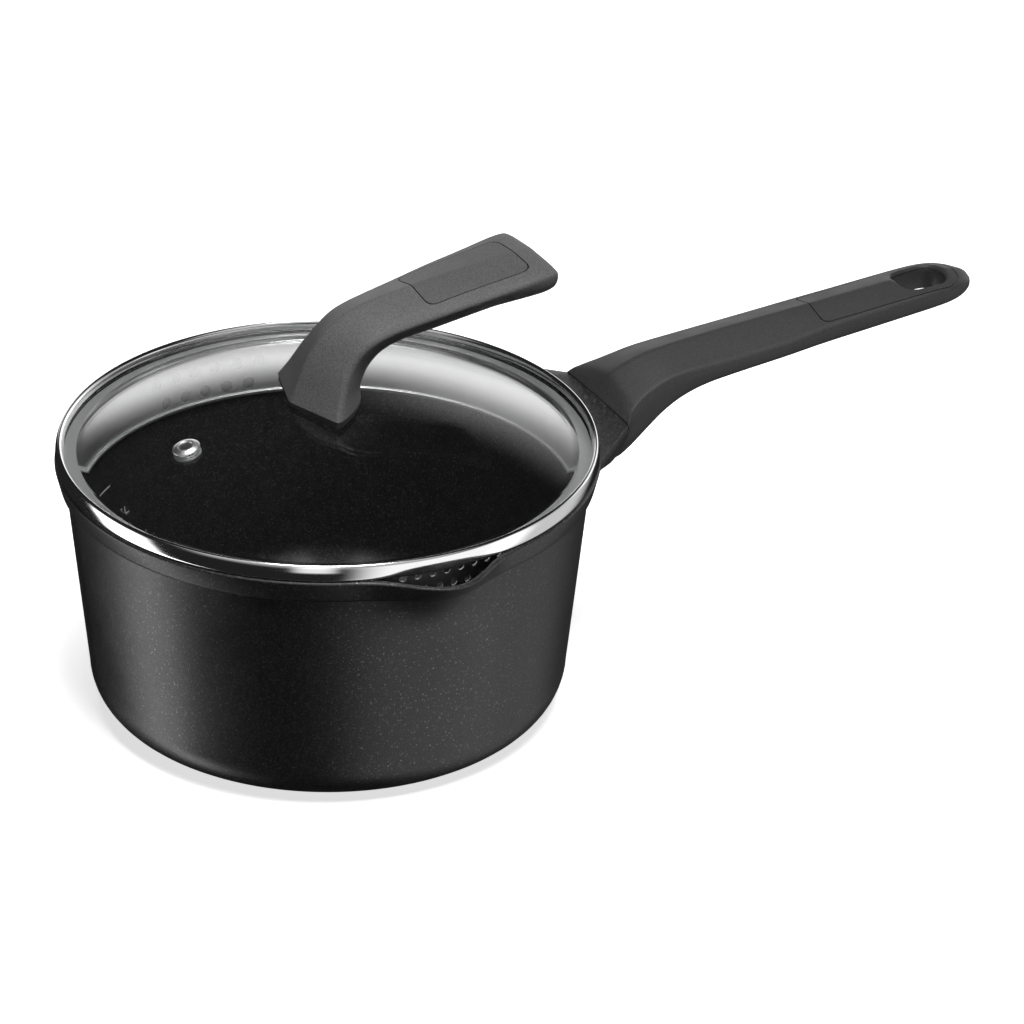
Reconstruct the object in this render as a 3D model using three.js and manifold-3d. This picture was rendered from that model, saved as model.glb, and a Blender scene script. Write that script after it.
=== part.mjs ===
// A 20 cm cast saucepan with a pouring spout and a glass strainer lid.
// Millimetres, +Z up. The origin is the centre of the base, on the surface that the pan stands on.
// +X runs along the handle, and the spout is at -Y.
import * as THREE from 'three';
import { mergeVertices } from 'three/addons/utils/BufferGeometryUtils.js';
import Module from 'manifold-3d';

const wasm = await Module();
wasm.setup();

// ---------------------------------------------------------------- driving dimensions
const GAP = 0.3;                  // between faces of separate pieces that touch
const ROUND = 72;                 // sides of the large round pieces
const PAN_ROUND = 120;            // sides of the pan, finer for the curve of its spout
const FINE = 20;                  // sides of the small round pieces

const BASE_RADIUS = 74;           // flat ring that the pan stands on
const CORNER_RADIUS = 17.8;       // between base and wall, outside
const WALL_TOP = { r: 99.3, z: 92.6 };
const BAND = { low: { r: 101.5, z: 94 }, high: { r: 103.4, z: 101.8 } };
const LIP = { z: 102.5, outer: 102.8, inner: 100.6 };
const FLOOR = 4.5;
const INNER_CORNER_RADIUS = 13.3;
const INNER_WALL_TOP = { r: 96.4, z: 92.6 };

const SPOUT_REACH = 13.9;         // how far the lip moves out at the spout
const SPOUT_HALF_ANGLE = THREE.MathUtils.degToRad(30);
const SPOUT_TURN = THREE.MathUtils.degToRad(-1.2);  // from square to the handle
const SPOUT_FOOT = 72;            // height where the spout starts to leave the wall

const PLATE_RADIUS = 66;          // steel disc in the base
const PLATE_THICKNESS = 1.3;

const BOSS_END = 115;             // where boss and grip meet, along X
const BOSS_TOP = 101;
const TONGUE_HALF_WIDTH = 9;

const HANDLE_SCREW_X = 126;
const HANDLE_SEAT = 88;           // face inside the grip that the washer is pulled against
const SCREW_RADIUS = 2;
const SCREW_TIP = 99;
const SCREW_HEAD_RADIUS = 3.7;
const WASHER_RADIUS = 4;

const LID_TURN = THREE.MathUtils.degToRad(5.4);    // the lid's rest turn from square to the handle
const KNOB_TURN = THREE.MathUtils.degToRad(-2.6);  // the knob's own turn on the lid

const DOME_TOP = 126;
const GLASS_THICKNESS = 2.7;
const GLASS_RADIUS = 100.4;
const GLASS_EDGE = { r: 95, z: 105.6 };            // where the dome meets its flat edge
const DOME_RISE = DOME_TOP - GLASS_EDGE.z;
const DOME_RADIUS = (GLASS_EDGE.r ** 2 + DOME_RISE ** 2) / (2 * DOME_RISE);
const DOME_CENTRE = DOME_TOP - DOME_RADIUS;
const KNOB_BORE = 3.5;            // through the glass, for the knob's screw

const VENT = { radius: 59.6, angle: THREE.MathUtils.degToRad(177.3), flange: 5.3, tube: 3.6, bore: 2.5, hole: 4.1 };

const SKIRT = { outer: 95, sheet: 0.7, bottom: 82, bead: 1.5, flange: 99.6, flangeTop: 102.6 };
const FINE_HOLES = { radius: 1.4, step: 3.5, rows: [{ z: 97.9, count: 9 }, { z: 92.1, count: 6 }], at: -90, sides: 8 };
const COARSE_HOLES = { radius: 2.45, step: 5.6, rows: [{ z: 96.2, count: 6 }, { z: 87.2, count: 5 }], at: 90, sides: 10 };

const FOOT_BOTTOM = 127.6;        // underside of the knob's foot
const INSERT = { radius: 4.5, height: 13, thread: 2.3 };

// ---------------------------------------------------------------- geometry helpers
// One closed shell: vertices that share a place are merged and empty triangles dropped.
function weld(geometry) {
  const bare = new THREE.BufferGeometry();
  bare.setAttribute('position', geometry.getAttribute('position'));
  bare.setIndex(geometry.index);
  const merged = mergeVertices(bare, 1e-4);
  const index = merged.index.array;
  const kept = [];
  for (let i = 0; i < index.length; i += 3) {
    const [a, b, c] = [index[i], index[i + 1], index[i + 2]];
    if (a !== b && b !== c && c !== a) kept.push(a, b, c);
  }
  merged.setIndex(kept);
  return merged;
}

function toManifold(geometry) {
  const shell = weld(geometry);
  const vertProperties = new Float32Array(shell.getAttribute('position').array);
  const triVerts = new Uint32Array(shell.index.array);
  return new wasm.Manifold(new wasm.Mesh({ numProp: 3, vertProperties, triVerts }));
}

function fromManifold(solid) {
  const mesh = solid.getMesh();
  const geometry = new THREE.BufferGeometry();
  geometry.setAttribute('position', new THREE.BufferAttribute(new Float32Array(mesh.vertProperties), 3));
  geometry.setIndex(new THREE.BufferAttribute(new Uint32Array(mesh.triVerts), 1));
  return geometry;
}

// body joined with every solid in add, then with every solid in cut taken away.
function combine(body, { add = [], cut = [] }) {
  let solid = toManifold(body);
  for (const piece of add) solid = solid.add(toManifold(piece));
  for (const piece of cut) solid = solid.subtract(toManifold(piece));
  return fromManifold(solid);
}

function overlap(first, second) {
  return fromManifold(toManifold(first).intersect(toManifold(second)));
}

// A solid of revolution about Z from [r, z] points, anticlockwise round the section.
function revolve(section, sides = ROUND) {
  const points = section.map(([r, z]) => new THREE.Vector2(r, z));
  return weld(new THREE.LatheGeometry(points, sides).rotateX(Math.PI / 2));
}

function ring(inner, outer, low, high, sides = FINE) {
  return revolve([[inner, low], [outer, low], [outer, high], [inner, high], [inner, low]], sides);
}

function disc(radius, low, high, sides = FINE) {
  return revolve([[0, low], [radius, low], [radius, high], [0, high]], sides);
}

// Points of an arc in the r-z plane, from angle start to end (degrees), ends included.
function arc(r, z, radius, start, end, steps) {
  return Array.from({ length: steps + 1 }, (_, i) => {
    const a = THREE.MathUtils.degToRad(start + (end - start) * i / steps);
    return [r + radius * Math.cos(a), z + radius * Math.sin(a)];
  });
}

// A solid through closed rings of points that follow each other along its length.
function loft(rings) {
  const sides = rings[0].length;
  const last = (rings.length - 1) * sides;
  const index = [];
  for (let i = 0; i < rings.length - 1; i++) {
    for (let j = 0; j < sides; j++) {
      const a = i * sides + j;
      const b = i * sides + (j + 1) % sides;
      index.push(a, b + sides, b, a, a + sides, b + sides);
    }
  }
  for (let j = 1; j < sides - 1; j++) {
    index.push(0, j, j + 1);
    index.push(last, last + j + 1, last + j);
  }
  const geometry = new THREE.BufferGeometry().setFromPoints(rings.flat());
  geometry.setIndex(index);
  return geometry;
}

// A flat outline of [x, y] points, extruded from z = low to high.
function prism(outline, low, high) {
  const shape = new THREE.Shape(outline.map(([x, y]) => new THREE.Vector2(x, y)));
  const geometry = new THREE.ExtrudeGeometry(shape, { depth: high - low, bevelEnabled: false });
  return geometry.translate(0, 0, low);
}

// A side outline of [x, z] points, extruded to halfWidth on both sides of the X-Z plane.
function sidePlate(outline, halfWidth) {
  return prism(outline, -halfWidth, halfWidth).rotateX(Math.PI / 2);
}

// An outline with rounded corners: each corner is [x, y, radius].
function rounded(corners, steps = 4) {
  const points = [];
  corners.forEach(([x, y, radius], i) => {
    const corner = new THREE.Vector2(x, y);
    const before = new THREE.Vector2(...corners.at(i - 1).slice(0, 2)).sub(corner).setLength(radius);
    const after = new THREE.Vector2(...corners[(i + 1) % corners.length].slice(0, 2)).sub(corner).setLength(radius);
    const curve = new THREE.QuadraticBezierCurve(before.add(corner), corner, after.add(corner));
    for (const p of curve.getPoints(steps)) points.push([p.x, p.y]);
  });
  return points;
}

// ---------------------------------------------------------------- shared shape of grip and knob
// Both are bars with a roof-shaped top: a ridge, two shoulders, and a body below that changes from
// a deep V, where the bar stands on its foot, to a rounded U in the grip. Each pair is the share of
// the half width and the share of the depth from shoulder to bottom.
const V_SIDE = [[0.985, 0], [0.985, 0.1], [0.91, 0.25], [0.8, 0.42], [0.66, 0.6], [0.46, 0.81], [0.2, 0.96]];
const U_SIDE = [[0.92, 0], [1, 0.2], [1, 0.42], [0.97, 0.62], [0.88, 0.8], [0.7, 0.93], [0.35, 1]];
const KNOB_U_SIDE = [[0.91, 0], [1, 0.12], [0.97, 0.27], [0.88, 0.5], [0.76, 0.74], [0.58, 0.92], [0.3, 1]];

// One ring of the bar. ridge, shoulder and bottom are [x, z] in the bar's middle plane, and crown is
// how far the roof bulges above a straight line from ridge to shoulder.
function barRing({ ridge, shoulder, bottom, halfWidth, grip, crown = 0, gripSide = U_SIDE }) {
  const at = (share, side) => {
    const x = THREE.MathUtils.lerp(shoulder[0], bottom[0], share);
    const z = THREE.MathUtils.lerp(shoulder[1], bottom[1], share);
    return new THREE.Vector3(x, side * halfWidth, z);
  };
  const left = V_SIDE.map(([vWide, vDeep], i) => {
    const wide = THREE.MathUtils.lerp(vWide, gripSide[i][0], grip);
    const deep = THREE.MathUtils.lerp(vDeep, gripSide[i][1], grip);
    return at(deep, wide);
  });
  const top = new THREE.Vector3(ridge[0], 0, ridge[1]);
  left.unshift(top.clone().lerp(left[0], 0.74).setComponent(2, THREE.MathUtils.lerp(top.z, left[0].z, 0.74) + crown));
  const right = left.map((p) => new THREE.Vector3(p.x, -p.y, p.z)).reverse();
  return [top, ...left, at(1, 0), ...right];
}

// ---------------------------------------------------------------- pan
// Moves the vertices of a round shell out at the spout.
function addSpout(geometry) {
  const position = geometry.getAttribute('position');
  for (let i = 0; i < position.count; i++) {
    const [x, y, z] = [position.getX(i), position.getY(i), position.getZ(i)];
    const radius = Math.hypot(x, y);
    const offAxis = Math.abs(Math.atan2(x, -y) - SPOUT_TURN);
    if (z <= SPOUT_FOOT || offAxis >= SPOUT_HALF_ANGLE) continue;
    const around = Math.cos(offAxis / SPOUT_HALF_ANGLE * Math.PI / 2) ** 6.7;
    const height = ((z - SPOUT_FOOT) / (LIP.z - SPOUT_FOOT)) ** 1.9;
    const scale = 1 + SPOUT_REACH * around * height / radius;
    position.setXY(i, x * scale, y * scale);
  }
  return geometry;
}

// Points up a straight wall, so that the spout has rings to bend.
function wallPoints(low, high) {
  return [0.7, 0.8, 0.88, 0.95, 1].map((share) => [
    THREE.MathUtils.lerp(low[0], high.r, share),
    THREE.MathUtils.lerp(low[1], high.z, share),
  ]);
}

function panOutside() {
  const corner = arc(BASE_RADIUS, CORNER_RADIUS, CORNER_RADIUS, -90, 0, 5);
  return addSpout(revolve([
    [0, 0],
    ...corner,
    ...wallPoints(corner.at(-1), WALL_TOP),
    [BAND.low.r, BAND.low.z],
    [(BAND.low.r + BAND.high.r) / 2, (BAND.low.z + BAND.high.z) / 2],
    [BAND.high.r, BAND.high.z],
    [LIP.outer, LIP.z],
    [0, LIP.z],
  ], PAN_ROUND));
}

function panInside() {
  const innerWall = BASE_RADIUS + CORNER_RADIUS - 3;
  const corner = arc(innerWall - INNER_CORNER_RADIUS, FLOOR + INNER_CORNER_RADIUS, INNER_CORNER_RADIUS, -90, 0, 4);
  return addSpout(revolve([
    [0, FLOOR],
    ...corner,
    ...wallPoints(corner.at(-1), INNER_WALL_TOP),
    [LIP.inner - 0.6, LIP.z - 2],
    [LIP.inner, LIP.z],
    [LIP.inner, LIP.z + 2],
    [0, LIP.z + 2],
  ], PAN_ROUND));
}

// The boss flares at 45 degrees from the grip's foot to the pan wall.
function boss() {
  const ends = [
    { x: 86, halfWidth: 54, bottom: 68 },
    { x: 101, halfWidth: 39.5, bottom: 70 },
    { x: BOSS_END, halfWidth: 26, bottom: 72 },
  ];
  return loft(ends.map(({ x, halfWidth, bottom }) => barRing({
    ridge: [x, BOSS_TOP],
    shoulder: [x, BOSS_TOP - 0.5],
    bottom: [x, bottom],
    halfWidth,
    grip: 0,
  })));
}

// Side outline of the tongue that the grip slides on to, grown by margin for its socket.
function tongueOutline(margin) {
  return [
    [106, 80 - margin * 1.4],
    [116, 90 - margin * 1.3],
    [134 + margin, 100 - margin * 1.2],
    [134 + margin, 105.5 + margin],
    [121, 100 + margin * 1.2],
    [106, 91 + margin * 1.2],
  ];
}

function panBody() {
  return combine(panOutside(), {
    add: [boss(), sidePlate(tongueOutline(0), TONGUE_HALF_WIDTH)],
    cut: [
      panInside(),
      disc(PLATE_RADIUS + GAP, -1, PLATE_THICKNESS + GAP, ROUND),
      disc(SCREW_RADIUS + GAP, 70, SCREW_TIP + GAP).translate(HANDLE_SCREW_X, 0, 0),
    ],
  });
}

function inductionBase() {
  return disc(PLATE_RADIUS, 0, PLATE_THICKNESS, ROUND);
}

// ---------------------------------------------------------------- handle
// Along X: ridge, shoulder and bottom heights, half width, and how far the section is a grip.
const HANDLE_STATIONS = [
  [BOSS_END + GAP, 101.2, 101, 26, 72, 0],
  [117, 105, 103, 24.3, 73, 0.03],
  [119, 108.5, 104.3, 22.9, 73.9, 0.09],
  [121, 110.6, 105.4, 21.9, 75.2, 0.2],
  [125, 112.5, 107.2, 20.2, 79.2, 0.38],
  [130, 114.4, 109.1, 18.9, 85.2, 0.58],
  [137, 116.3, 111.2, 17.8, 93, 0.8],
  [145, 117.4, 112.4, 17.3, 98.9, 0.93],
  [155, 118.4, 113.2, 17.2, 102.9, 1],
  [170, 119.7, 114.2, 17.3, 105.4, 1],
  [190, 121.1, 115.8, 17, 107.6, 1],
  [207, 122.2, 117.8, 15.8, 109, 1],
  [225, 123.4, 119.5, 15, 110.4, 1],
  [245, 124.7, 121.3, 14.5, 112.2, 1],
  [260, 125.5, 122.5, 14, 113.6, 1],
  [268, 125.4, 122.8, 12.9, 114.4, 1],
  [273.5, 124.7, 122.4, 10.9, 115.6, 1],
  [277.5, 123.7, 121.7, 8, 117.2, 1],
  [279.8, 122.4, 121, 4.4, 118.8, 1],
];

function handleLoft() {
  return loft(HANDLE_STATIONS.map(([x, ridge, shoulder, halfWidth, bottom, grip]) => barRing({
    ridge: [x, ridge],
    shoulder: [x, shoulder],
    bottom: [x, bottom],
    halfWidth,
    grip,
  })));
}

const HANDLE_INLAY = { start: 209.2, end: 274.4, halfWidth: 11.8, floorAt: 117.2, slope: 0.098 };
const HANGING_HOLE = { x: 258.9, halfLength: 11.3, halfWidth: 9.2 };

// The inlay's outline, grown by margin, standing on a floor that slopes with the handle.
function handleInlayPrism(margin, below) {
  const { start, end, halfWidth, floorAt, slope } = HANDLE_INLAY;
  const side = halfWidth + margin;
  const length = end - start + margin;
  const outline = rounded([
    [-margin, -side, 3.5], [length - 2, -side, 8], [length, 0, 3], [length - 2, side, 8], [-margin, side, 3.5],
  ]);
  return prism(outline, -below, 20).rotateY(-Math.atan(slope)).translate(start, 0, floorAt);
}

function hangingHole(margin) {
  const { x, halfLength, halfWidth } = HANGING_HOLE;
  const [a, b] = [halfLength + margin, halfWidth + margin];
  const outline = rounded([[-a, -b, 8], [a, -b, 8], [a, b, 8], [-a, b, 8]]);
  return prism(outline, -20, 20).rotateY(-Math.atan(HANDLE_INLAY.slope)).translate(x, 0, 118);
}

function handleGrip() {
  return combine(handleLoft(), {
    cut: [
      sidePlate(tongueOutline(GAP), TONGUE_HALF_WIDTH + GAP),
      handleInlayPrism(GAP, GAP),
      hangingHole(0),
      disc(SCREW_RADIUS + GAP, 70, SCREW_TIP).translate(HANDLE_SCREW_X, 0, 0),
      disc(WASHER_RADIUS + GAP, 70, HANDLE_SEAT).translate(HANDLE_SCREW_X, 0, 0),
    ],
  });
}

function handleInlay() {
  const panel = overlap(handleLoft(), handleInlayPrism(0, 0));
  return combine(panel, { cut: [hangingHole(0)] });
}

function handleWasher() {
  return ring(SCREW_RADIUS + GAP, WASHER_RADIUS, HANDLE_SEAT - GAP - 1, HANDLE_SEAT - GAP).translate(HANDLE_SCREW_X, 0, 0);
}

function handleScrew() {
  const headTop = HANDLE_SEAT - 1 - 2 * GAP;
  const headBottom = headTop - 2.6;
  return revolve([
    [0, headBottom + 1.2], [1.5, headBottom + 1.2], [1.9, headBottom], [SCREW_HEAD_RADIUS - 0.6, headBottom],
    [SCREW_HEAD_RADIUS, headBottom + 0.6], [SCREW_HEAD_RADIUS, headTop], [SCREW_RADIUS, headTop],
    [SCREW_RADIUS, SCREW_TIP], [0, SCREW_TIP],
  ], FINE).translate(HANDLE_SCREW_X, 0, 0);
}

// ---------------------------------------------------------------- lid
// Height of the dome's outer surface, or of one that lies inside it, at a radius.
function domeHeight(radius, inside = 0) {
  return DOME_CENTRE + Math.sqrt((DOME_RADIUS - inside) ** 2 - radius ** 2);
}

function domeArc(from, to, inside, steps) {
  return Array.from({ length: steps + 1 }, (_, i) => {
    const r = THREE.MathUtils.lerp(from, to, i / steps);
    return [r, domeHeight(r, inside)];
  });
}

// Places a piece made upright at the origin on the dome, square to the glass.
function standOnDome(geometry, radius, angle) {
  const lean = Math.asin(radius / DOME_RADIUS);
  return geometry.rotateY(lean).translate(radius, 0, domeHeight(radius)).rotateZ(angle);
}

function lidGlass() {
  const lowEdge = GLASS_EDGE.z - GLASS_THICKNESS;
  const body = revolve([
    ...domeArc(KNOB_BORE, GLASS_EDGE.r - 1, GLASS_THICKNESS, 7),
    [GLASS_EDGE.r + 0.5, lowEdge], [GLASS_RADIUS - 0.5, lowEdge], [GLASS_RADIUS, lowEdge + 0.5],
    [GLASS_RADIUS, GLASS_EDGE.z - 0.5], [GLASS_RADIUS - 0.5, GLASS_EDGE.z],
    ...domeArc(GLASS_EDGE.r, KNOB_BORE, 0, 7),
    [KNOB_BORE, domeHeight(KNOB_BORE, GLASS_THICKNESS)],
  ]);
  const ventHole = standOnDome(disc(VENT.hole, -8, 8), VENT.radius, VENT.angle);
  return combine(body, { cut: [ventHole] });
}

function ventEyelet() {
  const { flange, tube, bore } = VENT;
  const below = -GLASS_THICKNESS - GAP;
  const eyelet = revolve([
    [bore + 0.4, below - 1.1], [flange - 0.4, below - 1.1], [flange, below - 0.6], [flange, below],
    [tube, below], [tube, GAP], [flange, GAP], [flange, GAP + 0.5], [flange - 1.2, GAP + 1.7],
    [bore + 0.8, GAP + 1.7], [bore, GAP + 1], [bore, below - 0.6], [bore + 0.4, below - 1.1],
  ], FINE);
  return standOnDome(eyelet, VENT.radius, VENT.angle);
}

// One cluster of round holes through the skirt, in staggered rows.
function strainerHoles({ radius, step, rows, at, sides }) {
  const holes = [];
  for (const { z, count } of rows) {
    for (let i = 0; i < count; i++) {
      const angle = THREE.MathUtils.degToRad(at + (i - (count - 1) / 2) * step);
      const drill = disc(radius, -2, 2, sides).rotateY(Math.PI / 2);
      holes.push(drill.translate(SKIRT.outer, 0, z).rotateZ(angle));
    }
  }
  return holes;
}

function strainerSkirt() {
  const { outer, sheet, bottom, bead, flange, flangeTop } = SKIRT;
  const inner = outer - sheet;
  const sheetRing = revolve([
    [inner - 0.7, bottom], [outer - 0.3, bottom], [outer, bottom + 0.4], [outer, bottom + bead],
    [outer + 0.2, flangeTop - sheet], [flange, flangeTop - sheet], [flange, flangeTop],
    [inner + 0.2, flangeTop], [inner, bottom + bead], [inner - 0.8, bottom + bead - 0.3],
    [inner - 1.1, bottom + bead / 2], [inner - 0.7, bottom],
  ]);
  return combine(sheetRing, { cut: [...strainerHoles(FINE_HOLES), ...strainerHoles(COARSE_HOLES)] });
}

// The hoop wraps the edge of the glass: a band outside, a rolled crest and a lip over the glass.
function rimHoop() {
  const insideBand = GLASS_RADIUS + 0.4;
  const overGlass = GLASS_EDGE.z + GAP;
  return revolve([
    [insideBand, 103.3], [101.8, 102.8], [102.6, 102.8], [103, 103.7], [102.9, 106.6], [102.3, 108.3],
    [101.6, 108.9], [101, 108.8], [100.4, 108], [100.1, 107], [99.9, overGlass],
    [insideBand, overGlass], [insideBand, 103.3],
  ]);
}

// ---------------------------------------------------------------- knob
// Ridge, shoulder and bottom points [x, z] in the knob's middle plane, half width, how far the
// section is a grip, and the roof's crown. The foot stands on the lid's axis, and the grip reaches
// out along X.
const KNOB_STATIONS = [
  [[-16.6, FOOT_BOTTOM], [-9, FOOT_BOTTOM], [12, FOOT_BOTTOM], 24.4, 0, 0],
  [[-14, 133.2], [-6.1, 134], [11.6, 132.6], 21, 0.15, 0],
  [[-11.6, 139.3], [-2.9, 141], [12.8, 137], 18.4, 0.45, 0],
  [[-8.8, 144.7], [0.4, 146], [14.6, 140.6], 16.9, 0.75, 0],
  [[-4.4, 150.8], [4.6, 150.4], [17.4, 143.9], 16.6, 0.95, 0.2],
  [[1.2, 155.7], [9.8, 153.7], [21.4, 146.1], 16.8, 1, 0.4],
  [[9.3, 160], [16.2, 155.8], [26, 147.4], 17, 1, 0.6],
  [[20, 162.6], [24.5, 157.5], [32, 148.4], 17.4, 1, 0.7],
  [[34, 164.3], [36, 159.5], [41, 149.5], 18.2, 1, 0.7],
  [[52, 166.4], [53, 162.4], [56, 152], 19.6, 1, 0.65],
  [[70, 168], [71, 165], [72, 154.4], 20.6, 1, 0.6],
  [[80, 168.8], [80.5, 166.4], [81, 155.8], 21, 1, 0.6],
  [[85.6, 169], [86, 166.9], [86, 157.2], 20, 1, 0.5],
  [[87.4, 168.4], [87.8, 166.5], [87.4, 158.4], 18.9, 1, 0.4],
];

const KNOB_INLAY = { start: 36.2, end: 80, startHalf: 12.9, endHalf: 14.2, floorAt: 160.2, slope: 0.135 };

function knobLoft() {
  return loft(KNOB_STATIONS.map(([ridge, shoulder, bottom, halfWidth, grip, crown]) => barRing({
    ridge,
    shoulder,
    bottom,
    halfWidth,
    grip,
    crown,
    gripSide: KNOB_U_SIDE,
  })));
}

function knobInlayPrism(margin, below) {
  const { start, end, startHalf, endHalf, floorAt, slope } = KNOB_INLAY;
  const length = end - start;
  const outline = rounded([
    [-margin, -startHalf - margin, 4], [length + margin, -endHalf - margin, 5],
    [length + margin, endHalf + margin, 5], [-margin, startHalf + margin, 4],
  ]);
  return prism(outline, -below, 20).rotateY(-Math.atan(slope)).translate(start, 0, floorAt);
}

function knobBody() {
  const insertBore = disc(INSERT.radius + GAP, FOOT_BOTTOM - 1, FOOT_BOTTOM + INSERT.height + 2 * GAP);
  return combine(knobLoft(), { cut: [knobInlayPrism(GAP, GAP), insertBore] });
}

function knobInlay() {
  return overlap(knobLoft(), knobInlayPrism(0, 0));
}

// The pad fills the space between the flat foot and the dome, a little inside the foot's outline.
function knobGasket() {
  const [ridge, shoulder, bottom, halfWidth, grip] = KNOB_STATIONS[0];
  const outline = barRing({ ridge, shoulder, bottom, halfWidth, grip }).map((p) => [p.x * 0.98, p.y * 0.98]);
  const dome = revolve([[0, 90], [40, 90], ...domeArc(40, 0, -GAP, 6)], 24);
  return combine(prism(outline, DOME_TOP - 8, FOOT_BOTTOM - GAP), {
    cut: [dome, disc(KNOB_BORE, DOME_TOP - 9, FOOT_BOTTOM + 1)],
  });
}

function knobInsert() {
  const low = FOOT_BOTTOM + GAP;
  const high = low + INSERT.height;
  return revolve([
    [INSERT.thread, low], [INSERT.radius, low], [INSERT.radius, high], [0, high],
    [0, high - 1.5], [INSERT.thread, high - 1.5], [INSERT.thread, low],
  ], FINE);
}

const GLASS_UNDERSIDE = DOME_TOP - GLASS_THICKNESS;
const SEAL_LOW = GLASS_UNDERSIDE - 1.6;
const KNOB_WASHER_LOW = SEAL_LOW - GAP - 1.1;
const KNOB_HEAD_TOP = KNOB_WASHER_LOW - GAP;

function knobSeal() {
  return ring(2.6, 9, SEAL_LOW, GLASS_UNDERSIDE - 0.5, FINE + 4);
}

function knobWasher() {
  return ring(2.4, 8, KNOB_WASHER_LOW, SEAL_LOW - GAP, FINE + 4);
}

function knobScrew() {
  const headBottom = KNOB_HEAD_TOP - 2.8;
  const tip = FOOT_BOTTOM + INSERT.height - 2.5;
  return revolve([
    [0, headBottom + 1.2], [1.6, headBottom + 1.2], [2, headBottom], [3.6, headBottom],
    [4.4, headBottom + 0.9], [4.4, KNOB_HEAD_TOP], [2, KNOB_HEAD_TOP], [2, tip], [0, tip],
  ], FINE);
}

// ---------------------------------------------------------------- materials and assembly
const MATERIALS = {
  castAluminium: { color: 0x2b2b2c, roughness: 0.5, metalness: 0.55 },
  steelPlate: { color: 0xa8a8a6, roughness: 0.35, metalness: 1 },
  polishedSteel: { color: 0xd9d9d8, roughness: 0.12, metalness: 1 },
  bakelite: { color: 0x262627, roughness: 0.6, metalness: 0 },
  bakelitePanel: { color: 0x2b2b2c, roughness: 0.65, metalness: 0 },
  glass: { color: 0xe8eeee, roughness: 0.03, metalness: 0, transparent: true, opacity: 0.25 },
  silicone: { color: 0x161616, roughness: 0.8, metalness: 0 },
  brass: { color: 0xb5914a, roughness: 0.35, metalness: 1 },
};

function piece(name, geometry, material) {
  const mesh = new THREE.Mesh(geometry, new THREE.MeshStandardMaterial(MATERIALS[material]));
  mesh.name = name;
  return mesh;
}

function pan() {
  const group = new THREE.Group();
  group.add(
    piece('pan_body', panBody(), 'castAluminium'),
    piece('induction_base', inductionBase(), 'steelPlate'),
    piece('handle_grip', handleGrip(), 'bakelite'),
    piece('handle_inlay', handleInlay(), 'bakelitePanel'),
    piece('handle_washer', handleWasher(), 'steelPlate'),
    piece('handle_screw', handleScrew(), 'steelPlate'),
  );
  return group;
}

function knob() {
  const group = new THREE.Group();
  group.add(
    piece('knob_body', knobBody(), 'bakelite'),
    piece('knob_inlay', knobInlay(), 'bakelitePanel'),
    piece('knob_gasket', knobGasket(), 'silicone'),
    piece('knob_insert', knobInsert(), 'brass'),
    piece('knob_seal', knobSeal(), 'silicone'),
    piece('knob_washer', knobWasher(), 'steelPlate'),
    piece('knob_screw', knobScrew(), 'steelPlate'),
  );
  group.rotation.z = KNOB_TURN;
  return group;
}

function lid() {
  const group = new THREE.Group();
  group.add(
    piece('rim_hoop', rimHoop(), 'polishedSteel'),
    piece('strainer_skirt', strainerSkirt(), 'polishedSteel'),
    piece('lid_glass', lidGlass(), 'glass'),
    piece('vent_eyelet', ventEyelet(), 'polishedSteel'),
    knob(),
  );
  group.rotation.z = LID_TURN;
  return group;
}

const saucepan = new THREE.Group();
saucepan.add(pan(), lid());

export default saucepan;
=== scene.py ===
"""Studio scene for a cast saucepan with a glass strainer lid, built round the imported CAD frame."""

import math

import bmesh
import bpy
from mathutils import Matrix, Vector


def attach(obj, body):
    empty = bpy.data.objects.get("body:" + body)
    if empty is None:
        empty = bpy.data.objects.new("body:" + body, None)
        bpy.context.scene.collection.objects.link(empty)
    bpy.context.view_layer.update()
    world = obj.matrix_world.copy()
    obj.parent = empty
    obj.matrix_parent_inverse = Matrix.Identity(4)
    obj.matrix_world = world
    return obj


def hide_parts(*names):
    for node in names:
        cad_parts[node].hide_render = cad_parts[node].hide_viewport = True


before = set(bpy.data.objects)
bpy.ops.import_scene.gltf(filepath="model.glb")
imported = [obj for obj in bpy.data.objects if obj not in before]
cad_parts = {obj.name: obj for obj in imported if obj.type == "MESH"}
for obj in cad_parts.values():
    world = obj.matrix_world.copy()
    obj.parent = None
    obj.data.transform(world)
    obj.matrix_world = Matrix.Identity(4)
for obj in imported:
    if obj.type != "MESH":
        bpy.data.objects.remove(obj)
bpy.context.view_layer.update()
MM = 0.001

# ---------------------------------------------------------------- camera
HEADING = math.radians(27.5)    # the handle points this far behind the picture plane
LOOK_DOWN = math.radians(28.0)
CAMERA_ROLL = math.radians(-1.02)
CAMERA_AIM = Vector((0.0620, -0.0323, 0.0782))
CAMERA_DISTANCE = 2.0
LENS, SENSOR_WIDTH = 184.83, 36  # millimetres


def make_camera():
    """Looks down on the pan from the front left, with the handle going back to the right."""
    sine, cosine = math.sin(HEADING), math.cos(HEADING)
    ahead = Vector((math.cos(LOOK_DOWN) * sine, math.cos(LOOK_DOWN) * cosine, -math.sin(LOOK_DOWN)))
    right = Vector((cosine, -sine, 0))
    up = right.cross(ahead)
    roll = Matrix.Rotation(CAMERA_ROLL, 3, ahead)
    right, up = roll @ right, roll @ up
    data = bpy.data.cameras.new("camera")
    data.lens, data.sensor_width = LENS, SENSOR_WIDTH
    camera = bpy.data.objects.new("camera", data)
    bpy.context.collection.objects.link(camera)
    turn = Matrix((right, up, -ahead)).transposed().to_4x4()
    camera.matrix_world = Matrix.Translation(CAMERA_AIM - CAMERA_DISTANCE * ahead) @ turn
    bpy.context.scene.camera = camera


make_camera()


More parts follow.
